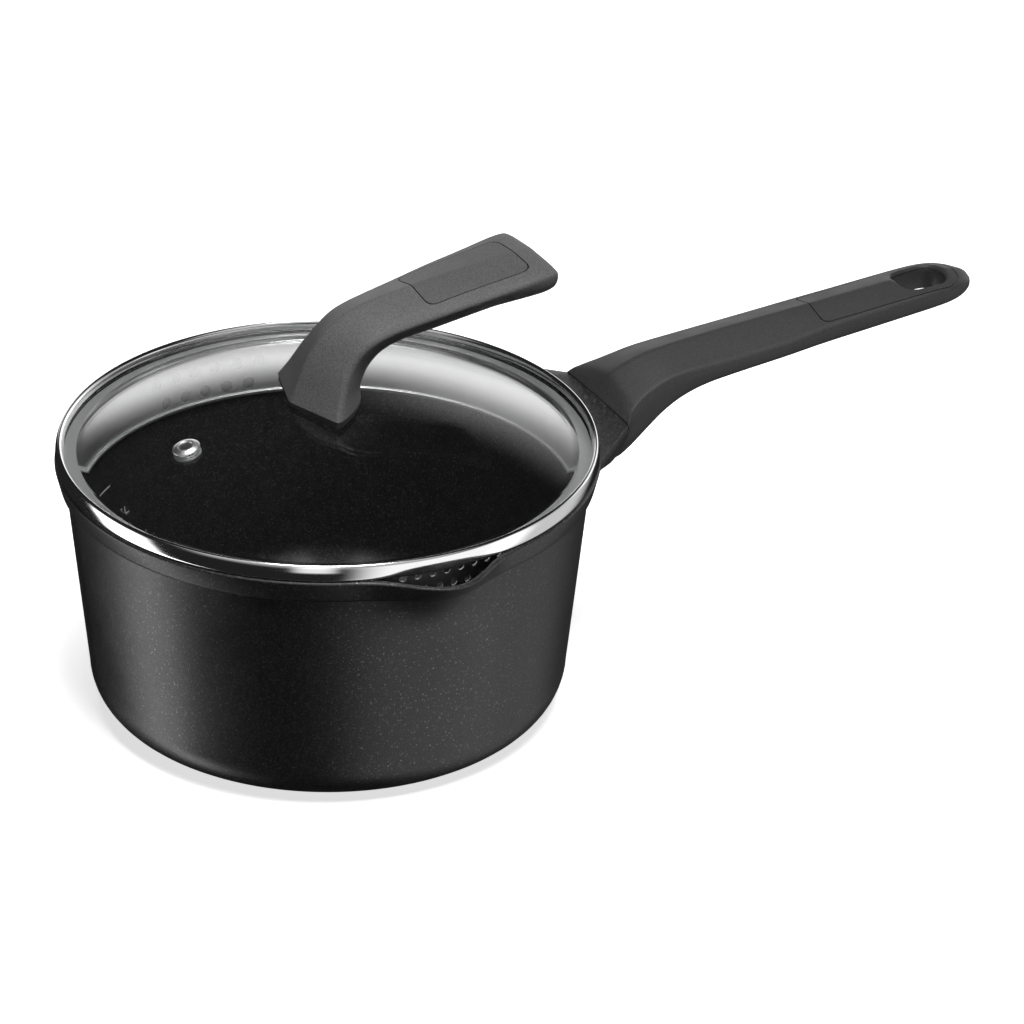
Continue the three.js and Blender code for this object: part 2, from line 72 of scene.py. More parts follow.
# ---------------------------------------------------------------- mesh helpers (mm in, metres out)
WELD = 1e-7                     # metres
ON_AXIS = 1e-6
CORNER_SHARE = 0.46             # the most of an edge that the rounding of one corner takes up
EDGE_ROUND = 0.35
EDGE_ANGLE = 35                 # degrees; edges sharper than this are rounded


def to_object(name, vertices, faces):
    """A welded mesh object with its faces turned outwards."""
    mesh = bpy.data.meshes.new(name)
    mesh.from_pydata([(x * MM, y * MM, z * MM) for x, y, z in vertices], [], faces)
    bm = bmesh.new()
    bm.from_mesh(mesh)
    bmesh.ops.remove_doubles(bm, verts=bm.verts, dist=WELD)
    bmesh.ops.recalc_face_normals(bm, faces=bm.faces)
    bm.to_mesh(mesh)
    bm.free()
    obj = bpy.data.objects.new(name, mesh)
    bpy.context.collection.objects.link(obj)
    return obj


def lathe(name, section, sides=240, warp=None):
    """A closed solid of revolution about Z.

    section is a list of (r, z) points: a closed loop, or a line from axis to axis. warp moves each
    finished point.
    """
    vertices, faces, rings = [], [], []
    for r, z in section:
        if r < ON_AXIS:
            rings.append([len(vertices)] * sides)
            vertices.append((0, 0, z))
            continue
        rings.append(list(range(len(vertices), len(vertices) + sides)))
        for i in range(sides):
            a = 2 * math.pi * i / sides
            vertices.append((r * math.cos(a), r * math.sin(a), z))
    if section[0][0] > ON_AXIS:
        rings.append(rings[0])
    for low, high in zip(rings, rings[1:]):
        for i in range(sides):
            j = (i + 1) % sides
            face = [low[i], low[j], high[j], high[i]]
            face = [v for k, v in enumerate(face) if v != face[k - 1]]
            if len(face) > 2:
                faces.append(face)
    if warp:
        vertices = [warp(*v) for v in vertices]
    return to_object(name, vertices, faces)


def loft(name, rings):
    """A closed solid through rings of equal length, capped at both ends."""
    n = len(rings[0])
    vertices = [p for ring in rings for p in ring]
    faces = [list(range(n)), [len(vertices) - 1 - i for i in range(n)]]
    for i in range(len(rings) - 1):
        for j in range(n):
            k = (j + 1) % n
            faces.append([i * n + j, i * n + k, (i + 1) * n + k, (i + 1) * n + j])
    return to_object(name, vertices, faces)


def rounded(points, radii, steps=5, closed=True):
    """Corner-rounded copy of a polygon of n-dimensional points. radii is one number or one each."""
    count = len(points)
    out = []
    for i, here in enumerate(points):
        radius = radii if isinstance(radii, (int, float)) else radii[i]
        if radius <= 0 or (not closed and i in (0, count - 1)):
            out.append(tuple(here))
            continue
        here = Vector(here)
        before, after = Vector(points[i - 1]) - here, Vector(points[(i + 1) % count]) - here
        a = here + before * min(CORNER_SHARE, radius / max(before.length, 1e-9))
        b = here + after * min(CORNER_SHARE, radius / max(after.length, 1e-9))
        for s in range(steps + 1):
            t = s / steps
            out.append(tuple(a * (1 - t) ** 2 + here * (2 * t * (1 - t)) + b * t ** 2))
    return out


def prism(name, outline, low, high):
    """An upright solid between two heights over an outline in plan."""
    n = len(outline)
    vertices = [(x, y, low) for x, y in outline] + [(x, y, high) for x, y in outline]
    faces = [list(range(n)), list(range(2 * n - 1, n - 1, -1))]
    faces += [[i, (i + 1) % n, n + (i + 1) % n, n + i] for i in range(n)]
    return to_object(name, vertices, faces)


def applied(obj):
    """Replaces obj's mesh with the result of its modifiers."""
    bpy.context.view_layer.update()
    done = bpy.data.meshes.new_from_object(obj.evaluated_get(bpy.context.evaluated_depsgraph_get()))
    obj.modifiers.clear()
    obj.data = done
    return obj


def combine(obj, operation, *tools):
    """Applies one boolean operation with each tool in turn, and removes the tools."""
    for tool in tools:
        mod = obj.modifiers.new("cut", "BOOLEAN")
        mod.operation, mod.object, mod.solver = operation, tool, "MANIFOLD"
        applied(obj)
        bpy.data.objects.remove(tool)
    return obj


def smooth(obj, degrees):
    """Shades obj smooth, apart from edges sharper than this."""
    obj.data.polygons.foreach_set("use_smooth", [True] * len(obj.data.polygons))
    obj.data.set_sharp_from_angle(angle=math.radians(degrees))
    return obj


def bevel(obj):
    """Rounds the sharp edges and shades the rest smooth."""
    mod = obj.modifiers.new("edge", "BEVEL")
    mod.width, mod.segments, mod.limit_method = EDGE_ROUND * MM, 3, "ANGLE"
    mod.angle_limit = math.radians(EDGE_ANGLE)
    mod.harden_normals = True
    return applied(smooth(obj, EDGE_ANGLE))


def spline(values, t):
    """The row of numbers at t, counted in rows, on a smooth curve through all the rows."""
    i = min(int(t), len(values) - 2)
    f = t - i
    rows = [values[max(i - 1, 0)], values[i], values[i + 1], values[min(i + 2, len(values) - 1)]]
    out = []
    for a, b, c, d in zip(*rows):
        bend = 2 * a - 5 * b + 4 * c - d + f * (3 * (b - c) + d - a)
        out.append(b + 0.5 * f * (c - a + f * bend))
    return out


# ---------------------------------------------------------------- materials
FLECKS_PER_METRE = 2300


def shader(name, color, roughness, metallic=0.0, **sockets):
    """A Principled material. sockets are further inputs, with _ for each space in their names."""
    material = bpy.data.materials.new(name)
    material.use_nodes = True
    tree = material.node_tree
    bsdf = tree.nodes["Principled BSDF"]
    bsdf.inputs["Base Color"].default_value = (*color, 1)
    bsdf.inputs["Roughness"].default_value = roughness
    bsdf.inputs["Metallic"].default_value = metallic
    for key, value in sockets.items():
        bsdf.inputs[key.replace("_", " ")].default_value = value
    return material, tree, bsdf


def coordinates(tree):
    return tree.nodes.new("ShaderNodeTexCoord").outputs["Object"]


def noise(tree, vector, scale, detail=2.0):
    node = tree.nodes.new("ShaderNodeTexNoise")
    node.inputs["Scale"].default_value = scale
    node.inputs["Detail"].default_value = detail
    tree.links.new(vector, node.inputs["Vector"])
    return node.outputs["Fac"]


def ramp(tree, value, stops):
    """Turns a value into grey levels. stops are (position, grey)."""
    node = tree.nodes.new("ShaderNodeValToRGB")
    tree.links.new(value, node.inputs["Fac"])
    while len(node.color_ramp.elements) < len(stops):
        node.color_ramp.elements.new(0.5)
    for element, (position, grey) in zip(node.color_ramp.elements, stops):
        element.position = position
        element.color = (grey, grey, grey, 1)
    return node.outputs["Color"]


def bump(tree, bsdf, height, strength, distance):
    node = tree.nodes.new("ShaderNodeBump")
    node.inputs["Strength"].default_value = strength
    node.inputs["Distance"].default_value = distance
    tree.links.new(height, node.inputs["Height"])
    tree.links.new(node.outputs["Normal"], bsdf.inputs["Normal"])


def cells(tree, vector, scale):
    """Three random values for each cell of a fine mosaic."""
    node = tree.nodes.new("ShaderNodeTexVoronoi")
    node.inputs["Scale"].default_value = scale
    tree.links.new(vector, node.inputs["Vector"])
    separate = tree.nodes.new("ShaderNodeSeparateColor")
    tree.links.new(node.outputs["Color"], separate.inputs["Color"])
    return separate


def fleck_coat(name, dark, fleck, share, roughness, shine=0.5):
    """Dark coating with scattered metallic flecks about half a millimetre across.

    share is the part of the surface that the flecks take up.
    """
    material, tree, bsdf = shader(name, (dark,) * 3, roughness, 0.0, Specular_IOR_Level=shine)
    where = coordinates(tree)
    cell = cells(tree, where, FLECKS_PER_METRE)
    edge = 1.0 - share
    tones = ramp(tree, cell.outputs["Red"], [
        (0.0, dark * 0.7), (edge - 0.25, dark * 1.2), (edge, fleck * 0.35), (1.0, fleck)])
    tree.links.new(tones, bsdf.inputs["Base Color"])
    metal = ramp(tree, cell.outputs["Red"], [(0.0, 0.0), (edge - 0.02, 0.0), (edge, 1.0)])
    tree.links.new(metal, bsdf.inputs["Metallic"])
    broad = noise(tree, where, 35)
    rough = ramp(tree, broad, [(0.3, roughness - 0.03), (0.7, roughness + 0.03)])
    tree.links.new(rough, bsdf.inputs["Roughness"])
    bump(tree, bsdf, cell.outputs["Blue"], 0.35, 0.00008)
    return material


def bakelite(name, grey, shine):
    """Moulded resin or print with a fine eroded grain."""
    material, tree, bsdf = shader(name, (grey,) * 3, 0.5, 0.0, Specular_IOR_Level=shine)
    where = coordinates(tree)
    fine = noise(tree, where, 1700, 3)
    tone = ramp(tree, fine, [(0.3, grey * 0.72), (0.7, grey * 1.3)])
    tree.links.new(tone, bsdf.inputs["Base Color"])
    broad = noise(tree, where, 60)
    tree.links.new(ramp(tree, broad, [(0.3, 0.46), (0.7, 0.54)]), bsdf.inputs["Roughness"])
    bump(tree, bsdf, fine, 0.35, 0.00006)
    return material


def steel(name, grey, roughness, streak):
    """Turned or polished metal: fine streaks round the axis in roughness and height."""
    material, tree, bsdf = shader(name, (grey,) * 3, roughness, 1.0)
    where = coordinates(tree)
    length = tree.nodes.new("ShaderNodeVectorMath")
    length.operation = "LENGTH"
    flat = tree.nodes.new("ShaderNodeVectorMath")
    flat.operation = "MULTIPLY"
    flat.inputs[1].default_value = (1, 1, 0.6)
    tree.links.new(where, flat.inputs[0])
    tree.links.new(flat.outputs["Vector"], length.inputs[0])
    lines = noise(tree, length.outputs["Value"], streak, 3)
    rough = ramp(tree, lines, [(0.3, roughness * 0.75), (0.7, roughness * 1.35)])
    tree.links.new(rough, bsdf.inputs["Roughness"])
    bump(tree, bsdf, lines, 0.03, 0.00002)
    return material


def rubber(name, grey):
    material, tree, bsdf = shader(name, (grey,) * 3, 0.6)
    bump(tree, bsdf, noise(tree, coordinates(tree), 900), 0.2, 0.00008)
    return material


def clear_glass(name, color):
    return shader(name, color, 0.0, 0.0, Transmission_Weight=1.0, IOR=1.5)[0]


COAT = fleck_coat("pan_coat", 0.012, 0.17, 0.045, 0.36)
INSIDE = fleck_coat("non_stick_inside", 0.008, 0.12, 0.035, 0.42, 0.3)
GRIP = bakelite("bakelite", 0.026, 0.36)
PANEL = bakelite("bakelite_panel", 0.025, 0.4)
KNOB_GRIP = bakelite("bakelite_knob", 0.07, 0.18)
KNOB_PANEL = bakelite("bakelite_knob_panel", 0.06, 0.2)
CHROME = steel("polished_rim", 0.88, 0.1, 5200)
SATIN = steel("satin_steel", 0.88, 0.36, 3800)
PLATE = steel("brushed_plate", 0.62, 0.34, 2600)
BRASS = steel("brass", 0.5, 0.3, 2600)
PRINT = bakelite("scale_print", 0.24, 0.3)
RUBBER = rubber("silicone", 0.012)
GLASS = clear_glass("clear_glass", (0.985, 0.995, 0.992))


def finish_piece(obj, body, slot_name, material, *nodes):
    """Gives a piece its material and body, and hides the CAD nodes that it stands for. slot_name is
    not used.
    """
    if not obj.data.materials or obj.data.materials[0] is None:
        obj.data.materials.clear()
        obj.data.materials.append(material)
    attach(obj, body)
    if nodes:
        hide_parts(*nodes)


# ---------------------------------------------------------------- pan
RIM_SIDES = 288
FLOOR_Z, CORNER_Z, BAND_Z, LIP_Z = 4.5, 17.8, 92.6, 102.5
OUTER_TOP_R = 99.3
INNER_FOOT_R, INNER_TOP_R = 88.8, 96.4

SPOUT_REACH = 13.9
SPOUT_HALF = math.radians(30)   # either side of its middle
SPOUT_TURN = math.radians(-1.2)
SPOUT_FOOT = 72.0               # height where it begins to leave the wall
SPOUT_PEAK = 6.7                # how pointed it is from above
SPOUT_SWEEP = 1.9               # how late it sweeps out on the way up
AXIS_CLEAR = 50                 # points nearer the axis than this stay


def spout(x, y, z):
    """Moves a point of the wall out where the spout is."""
    off = abs(math.atan2(x, -y) - SPOUT_TURN)
    radius = math.hypot(x, y)
    if z <= SPOUT_FOOT or off >= SPOUT_HALF or radius < AXIS_CLEAR:
        return x, y, z
    around = math.cos(off / SPOUT_HALF * math.pi / 2) ** SPOUT_PEAK
    rise = min(1, (z - SPOUT_FOOT) / (LIP_Z - SPOUT_FOOT)) ** SPOUT_SWEEP
    scale = 1 + SPOUT_REACH * around * rise / radius
    return x * scale, y * scale, z


def arc(r, z, radius, start, end, steps):
    """Points on a circle about r, z, from one angle to another in degrees."""
    turn = [math.radians(start + (end - start) * i / steps) for i in range(steps + 1)]
    return [(r + radius * math.cos(a), z + radius * math.sin(a)) for a in turn]


def climb(low, high, steps):
    """Evenly spaced points on a straight line, without its first."""
    return [tuple(a + (b - a) * i / steps for a, b in zip(low, high)) for i in range(1, steps + 1)]


def pan_section():
    """Outside from the base up to the lip, then down the inside to the floor."""
    outside = [(0, 1.6), (66.3, 1.6), (66.3, 0.2), (66.6, 0)]
    outside += arc(74, CORNER_Z, CORNER_Z, -90, 0, 14)
    outside += climb(outside[-1], (OUTER_TOP_R, BAND_Z), 22)
    band = [(OUTER_TOP_R, BAND_Z), (101.5, 94.0), (103.4, 101.8), (102.4, LIP_Z), (100.6, LIP_Z),
            (99.6, 100.6), (INNER_TOP_R, BAND_Z)]
    band = rounded(band, [0, 0.9, 0.5, 0.5, 0.6, 2.0, 0], 4, closed=False)
    wall = climb((INNER_TOP_R, BAND_Z), (INNER_FOOT_R, CORNER_Z), 22)
    corner = arc(75.5, CORNER_Z, 13.3, 0, -90, 12)
    return outside + band[1:] + wall + corner[1:] + [(0, FLOOR_Z)]


# Sides of a bar, from shoulder to bottom: (share of the half width, share of the depth).
V_SIDE = [(0.985, 0), (0.985, 0.1), (0.91, 0.25), (0.8, 0.42), (0.66, 0.6), (0.46, 0.81),
          (0.2, 0.96)]
U_SIDE = [(0.92, 0), (1, 0.2), (1, 0.42), (0.97, 0.62), (0.88, 0.8), (0.7, 0.93), (0.35, 1)]
KNOB_U_SIDE = [(0.91, 0), (1, 0.12), (0.97, 0.27), (0.88, 0.5), (0.76, 0.74), (0.58, 0.92),
               (0.3, 1)]
KNOB_END_SIDE = [(0.96, 0), (1, 0.1), (1, 0.3), (0.98, 0.52), (0.9, 0.76), (0.7, 0.93), (0.35, 1)]

# Rounding at the ridge, then from the roof and the shoulder down the side, and at the bottom.
RIDGE_CREASE, BOTTOM_CREASE = 1.6, 4
CREASES = [2.5, 1.2, 1.2, 3, 4, 4, 4, 3]
ROOF_AT = 0.74                  # share of the way from ridge to shoulder where the crown lifts


def bar_ring(ridge_x, ridge_z, shoulder_x, shoulder_z, bottom_x, bottom_z, half, grip, crown=0.0,
             grip_side=U_SIDE, soft=1.0):
    """One rounded section of a bar with a roof-shaped top.

    grip blends its sides from V_SIDE at 0 to grip_side at 1, crown lifts the two slopes of the
    roof, and soft scales the rounding of every edge.
    """
    left = []
    for (v_wide, v_deep), (u_wide, u_deep) in zip(V_SIDE, grip_side):
        wide, deep = v_wide + (u_wide - v_wide) * grip, v_deep + (u_deep - v_deep) * grip
        left.append((shoulder_x + (bottom_x - shoulder_x) * deep, half * wide,
                     shoulder_z + (bottom_z - shoulder_z) * deep))
    top = Vector((ridge_x, 0, ridge_z))
    roof = top.lerp(Vector(left[0]), ROOF_AT)
    left.insert(0, (roof.x, roof.y, roof.z + crown))
    right = [(x, -y, z) for x, y, z in reversed(left)]
    points = [tuple(top)] + left + [(bottom_x, 0, bottom_z)] + right
    radii = [RIDGE_CREASE] + CREASES + [BOTTOM_CREASE] + CREASES[::-1]
    return rounded(points, [soft * r for r in radii], 3)


def build_boss():
    """The cast arm that flares from the handle's foot (t = 0) to inside the wall (t = 1)."""
    rings = []
    for i in range(13):
        t = i / 12
        x = 115 - 29 * t
        rings.append(bar_ring(x, 101, x, 100.5, x, 72 - 4 * t, 26 + 28 * t, 0, soft=0.4))
    return loft("boss", rings)


def build_pan():
    section = pan_section()
    shell = lathe("pan_shell", section, RIM_SIDES, spout)
    inside = next(i for i, (r, z) in enumerate(section) if z >= LIP_Z - 0.1 and r < 101.2)
    hollow = [(0, 110), (section[inside][0], 110)] + section[inside:]
    boss = combine(build_boss(), "DIFFERENCE", lathe("hollow", hollow, RIM_SIDES, spout))
    shell = combine(shell, "UNION", boss)
    smooth(shell, 30)
    shell.data.materials.clear()
    shell.data.materials.append(COAT)
    shell.data.materials.append(INSIDE)
    for face in shell.data.polygons:
        middle = face.center / MM
        radius = math.hypot(middle.x, middle.y)
        inward = face.normal.x * middle.x + face.normal.y * middle.y < 0
        on_wall = inward and FLOOR_Z - 0.1 < middle.z < LIP_Z - 0.3 and 60 < radius < 116
        on_floor = face.normal.z > 0 and FLOOR_Z - 0.3 < middle.z < 18 and radius < 89
        if on_wall or on_floor:
            face.material_index = 1
    finish_piece(shell, "pan", "cast_aluminium", COAT, "pan_body")


# Litre scale inside the wall: strokes of (across, up), drawn six high.
GLYPHS = {
    "1": [[(0.8, 4.9), (2.0, 6.0), (2.0, 0.0)]],
    "5": [[(3.3, 6.0), (0.5, 6.0), (0.3, 3.4), (2.2, 3.6), (3.4, 2.5), (3.3, 1.0), (2.0, 0.0),
           (0.1, 0.4)]],
    ".": [[(0.5, 0.0), (0.5, 0.7)]],
    "L": [[(0.4, 6.0), (0.4, 0.0), (3.2, 0.0)]],
}
TICK, HALF_TICK = [(-14, 0), (0, 0)], [(-11, 0), (-2.6, 0)]
GLYPH_WIDE, GLYPH_TALL = 0.8, 0.47
GLYPH_STEP = 4.4
POINT_STEP = 1.8
LAST_GLYPH = 8.2                # across, where a label's last glyph begins
LABEL_DROP, HALF_TICK_DROP = 15.6, 7.4
SCALE_ANGLE = 129.2             # degrees, where the ticks end on the right
SCALE = [(26.5, ""), (46.4, "1L"), (66.3, "1.5L")]  # height of a tick, and its label
PRINT_RAISED = 0.1
LEG_PIECE = 1.5                 # legs are cut this short so that they follow the wall


def inner_wall(z):
    """The wall's inside radius at height z."""
    slope = (INNER_TOP_R - INNER_FOOT_R) / (BAND_Z - CORNER_Z)
    return INNER_FOOT_R + (z - CORNER_Z) * slope


def step(glyph):
    """How far the next glyph stands to the right."""
    return POINT_STEP if glyph == "." else GLYPH_STEP


def stroke(vertices, faces, path, angle, base, width):
    """A raised bar for each leg of the path, laid on the inside of the wall."""
    for (x0, z0), (x1, z1) in zip(path, path[1:]):
        length = math.hypot(x1 - x0, z1 - z0)
        ux, uz = (x1 - x0) / length * width / 2, (z1 - z0) / length * width / 2
        count = max(1, round(length / LEG_PIECE))
        start = len(vertices)
        for i in range(count + 1):
            t = i / count
            x, z = x0 - ux + (x1 - x0 + 2 * ux) * t, z0 - uz + (z1 - z0 + 2 * uz) * t
            for side, way in ((-1, -1), (1, -1), (1, 1), (-1, 1)):
                across, up = x - side * uz, base + z + side * ux
                radius = inner_wall(up) - way * PRINT_RAISED
                a = math.radians(angle) - across / inner_wall(up)
                vertices.append((radius * math.cos(a), radius * math.sin(a), up))
        for i in range(count):
            for j in range(4):
                a, b = start + 4 * i + j, start + 4 * i + (j + 1) % 4
                faces.append((a, b, b + 4, a + 4))
        end = start + 4 * count
        faces.append((start + 3, start + 2, start + 1, start))
        faces.append((end, end + 1, end + 2, end + 3))


def build_scale():
    vertices, faces = [], []
    for z, label in SCALE:
        stroke(vertices, faces, TICK, SCALE_ANGLE, z, 0.55)
        stroke(vertices, faces, HALF_TICK, SCALE_ANGLE, z - HALF_TICK_DROP, 0.45)
        left = LAST_GLYPH - sum(step(glyph) for glyph in label[:-1])
        for glyph in label:
            for path in GLYPHS[glyph]:
                placed = [(left + GLYPH_WIDE * across, GLYPH_TALL * up) for across, up in path]
                stroke(vertices, faces, placed, SCALE_ANGLE, z - LABEL_DROP, 0.6)
            left += step(glyph)
    scale = to_object("litre_scale", vertices, faces)
    finish_piece(scale, "pan", "cast_aluminium", PRINT)


# ---------------------------------------------------------------- handle
GROOVE = 0.42                   # between an inlay and the recess that it lies in

# Sections of the grip: x, height of the ridge and of the shoulder, half width, height of the
# bottom, and how far the sides are a full U.
HANDLE = [
    (115.3, 101.2, 101, 26, 72, 0), (117, 105, 103, 24.3, 73, 0.03),
    (119, 108.5, 104.3, 22.9, 73.9, 0.09), (121, 110.6, 105.4, 21.9, 75.2, 0.2),
    (125, 112.5, 107.2, 20.2, 79.2, 0.38), (130, 114.4, 109.1, 18.9, 85.2, 0.58),
    (137, 116.3, 111.2, 17.8, 93, 0.8), (145, 117.4, 112.4, 17.3, 98.9, 0.93),
    (155, 118.4, 113.2, 17.2, 102.9, 1), (170, 119.7, 114.2, 17.3, 105.4, 1),
    (190, 121.1, 115.8, 17, 107.6, 1), (207, 122.2, 117.8, 15.8, 109, 1),
    (225, 123.4, 119.5, 15, 110.4, 1), (245, 124.7, 121.3, 14.5, 112.2, 1),
    (260, 125.5, 122.5, 14, 113.6, 1), (268, 125.4, 122.8, 12.9, 114.4, 1),
    (273.5, 124.7, 122.4, 10.9, 115.6, 1), (277.5, 123.7, 121.7, 8, 117.2, 1),
    (279.8, 122.4, 121, 4.4, 118.8, 1),
]
INLAY_SLOPE = 0.098
INLAY_START = (209.2, 117.2)    # x and z
HOLE_CENTRE = (258.9, 118)
SCREW_X = 126


def handle_loft(name):
    rings = []
    steps = 6
    for k in range((len(HANDLE) - 1) * steps + 1):
        x, ridge, shoulder, half, bottom, grip = spline(HANDLE, k / steps)
        rings.append(bar_ring(x, ridge, x, shoulder, x, bottom, half, min(max(grip, 0), 1)))
    return loft(name, rings)


def tilted(obj, slope, x, z):
    """Lays obj on a slope that rises along +X from the point x, z."""
    turn = Matrix.Rotation(-math.atan(slope), 4, "Y")
    obj.data.transform(Matrix.Translation((x * MM, 0, z * MM)) @ turn)
    return obj


def moved(obj, x):
    obj.data.transform(Matrix.Translation((x * MM, 0, 0)))
    return obj


def handle_outline(margin):
    """The inlay in plan from its inner end: a bar with a blunt point round the hole."""
    side, length = 11.8 + margin, 65.2 + margin
    corners = [(-margin, -side), (length - 2, -side), (length, 0), (length - 2, side),
               (-margin, side)]
    return rounded(corners, [3.5, 9, 6, 9, 3.5], 8)


def hanging_hole():
    """A cutter for the hole, with a soft upper edge, that draws in towards the underside."""
    def ring(grow, height):
        a, b = 10.4 + grow, 8.3 + grow
        outline = rounded([(-a, -b), (a, -b), (a, b), (-a, b)], 8, 10)
        return [(x, y, height(x, y)) for x, y in outline]

    def above_skin(rise):
        """Follows the grip's crowned top at the hole."""
        return lambda x, y: 7.4 - 0.08 * x - 0.003 * x * x - 0.19 * abs(y) + rise

    rings = [ring(-0.8, lambda x, y: -20), ring(-0.8, lambda x, y: -4)]
    for rise, grow in ((-3.0, 0), (-1.6, 0.12), (-0.8, 0.45), (-0.2, 1.0), (0.3, 1.8)):
        rings.append(ring(grow, above_skin(rise)))
    rings.append(ring(2, lambda x, y: 20))
    return tilted(loft("hole", rings), INLAY_SLOPE, *HOLE_CENTRE)


def build_handle():
    recess = prism("recess", handle_outline(GROOVE), -0.3, 20)
    head_bore = lathe("screw_bore", [(0, 60), (4.3, 60), (4.3, 88), (0, 88)], 48)
    shank_bore = lathe("screw_shank", [(0, 87), (2.3, 87), (2.3, 99.5), (0, 99.5)], 32)
    grip = combine(handle_loft("handle_grip_skin"), "DIFFERENCE",
                   tilted(recess, INLAY_SLOPE, *INLAY_START), hanging_hole(),
                   moved(head_bore, SCREW_X), moved(shank_bore, SCREW_X))
    bevel(grip)
    finish_piece(grip, "pan", "bakelite", GRIP, "handle_grip")
    outline = prism("outline", handle_outline(0), 0, 20)
    panel = combine(handle_loft("handle_panel"), "INTERSECT",
                    tilted(outline, INLAY_SLOPE, *INLAY_START))
    combine(panel, "DIFFERENCE", hanging_hole())
    bevel(panel)
    finish_piece(panel, "pan", "bakelite_panel", PANEL, "handle_inlay")


# ---------------------------------------------------------------- lid
LID_TURN = math.radians(5.4)
KNOB_TURN = math.radians(2.8)
DOME_TOP, GLASS_THICK = 126.0, 2.7
EDGE_R, EDGE_Z = 95.0, 105.6    # where the dome meets the glass's flat edge
GLASS_R = 100.4
FOOT_BORE_R = 3.5               # the hole that the knob's screw passes
DOME_RADIUS = (EDGE_R ** 2 + (DOME_TOP - EDGE_Z) ** 2) / (2 * (DOME_TOP - EDGE_Z))
VENT_RADIUS, VENT_ANGLE = 59.6, math.radians(177.3) + LID_TURN
SKIRT_R = 95

# Strainer holes: radius, degrees between two, rows of (height, count), degrees of their middle.
HOLES = [
    (1.4, 3.5, ((97.9, 9), (92.1, 6)), -90),
    (2.45, 5.6, ((96.2, 6), (87.2, 5)), 90),
]


def dome(radius, inside=0.0):
    """Height of the glass's upper face, or of a face this far inside it."""
    return DOME_TOP - DOME_RADIUS + math.sqrt((DOME_RADIUS - inside) ** 2 - radius ** 2)


def turned(obj, angle=LID_TURN):
    obj.data.transform(Matrix.Rotation(angle, 4, "Z"))
    return obj


def on_dome(obj, radius, angle):
    """Stands obj square on the glass."""
    lean = math.asin(radius / DOME_RADIUS)
    stand = Matrix.Translation((radius * MM, 0, dome(radius) * MM)) @ Matrix.Rotation(lean, 4, "Y")
    obj.data.transform(Matrix.Rotation(angle, 4, "Z") @ stand)
    return obj


def build_glass():
    low = EDGE_Z - GLASS_THICK
    out = [FOOT_BORE_R + 90.5 * i / 40 for i in range(41)]
    back = [EDGE_R - (EDGE_R - FOOT_BORE_R) * i / 40 for i in range(41)]
    under = [(radius, dome(radius, GLASS_THICK)) for radius in out]
    over = [(radius, dome(radius)) for radius in back]
    edge = rounded([(95.5, low), (GLASS_R, low), (GLASS_R, low + 1.3)], 0.9, 4, closed=False)
    edge += rounded([(GLASS_R, low + 1.4), (GLASS_R, EDGE_Z), (97, EDGE_Z)], 0.9, 4, closed=False)
    glass = lathe("lid_glass_dome", under + edge + over)
    hole = lathe("vent_hole", [(0, -8), (4.1, -8), (4.1, 8), (0, 8)], 48)
    combine(glass, "DIFFERENCE", on_dome(hole, VENT_RADIUS, VENT_ANGLE))
    smooth(glass, 22)
    glass.visible_shadow = False
    finish_piece(glass, "lid", "glass", GLASS, "lid_glass")


def build_vent():
    below = -GLASS_THICK - 0.3
    outline = [(2.8, below - 1.1), (4.9, below - 1.1), (5.3, below - 0.6), (5.3, below),
               (3.6, below), (3.6, 0.3), (5.3, 0.3), (5.3, 0.9), (3.1, 1.9), (2.5, 1.3),
               (2.5, below - 0.6)]
    section = rounded(outline, [0.3, 0.3, 0.3, 0.1, 0.1, 0.1, 0.2, 0.6, 0.7, 0.6, 0.3], 5)
    vent = on_dome(lathe("vent_ring", section, 64), VENT_RADIUS, VENT_ANGLE)
    smooth(vent, 40)
    finish_piece(vent, "lid", "polished_steel", SATIN, "vent_eyelet")


def build_rim():
    outline = [(100.8, 103.3), (101.8, 102.8), (102.6, 102.8), (103.0, 103.7), (102.9, 106.6),
               (102.3, 108.4), (101.6, 108.9), (101.0, 108.8), (100.3, 108.0), (99.9, 105.9),
               (100.8, 105.9)]
    section = rounded(outline, [0.2, 0.4, 0.5, 1.2, 2.4, 0.9, 0.6, 0.5, 0.6, 0.2, 0.1], 6)
    rim = smooth(lathe("rim_band", section, RIM_SIDES), 50)
    finish_piece(rim, "lid_rim", "polished_steel", CHROME, "rim_hoop")


def build_skirt():
    outline = [(93.4, 82.0), (95.0, 82.0), (95.2, 101.9), (99.6, 101.9), (99.6, 102.6),
               (94.5, 102.6), (94.3, 83.5), (93.2, 83.5), (93.2, 82.8)]
    section = rounded(outline, [0.6, 0.6, 0.6, 0.2, 0.2, 1.0, 0.2, 0.6, 0.3], 5)
    skirt = lathe("strainer_ring", section, RIM_SIDES)
    drills = []
    for radius, spacing, rows, at in HOLES:
        for z, count in rows:
            for i in range(count):
                a = math.radians(at + (i - (count - 1) / 2) * spacing)
                drill = lathe("drill", [(0, -3), (radius, -3), (radius, 3), (0, 3)], 24)
                drill.data.transform(
                    Matrix.Rotation(a, 4, "Z") @ Matrix.Translation((SKIRT_R * MM, 0, z * MM))
                    @ Matrix.Rotation(math.pi / 2, 4, "Y"))
                drills.append(drill)
    combine(skirt, "DIFFERENCE", *drills)
    turned(smooth(skirt, 35))
    finish_piece(skirt, "lid", "polished_steel", SATIN, "strainer_skirt")


# ---------------------------------------------------------------- knob
FOOT = 127.6
KNOB_SLOPE = 0.135
KNOB_INLAY_START = (36.2, 160.2)    # x and z

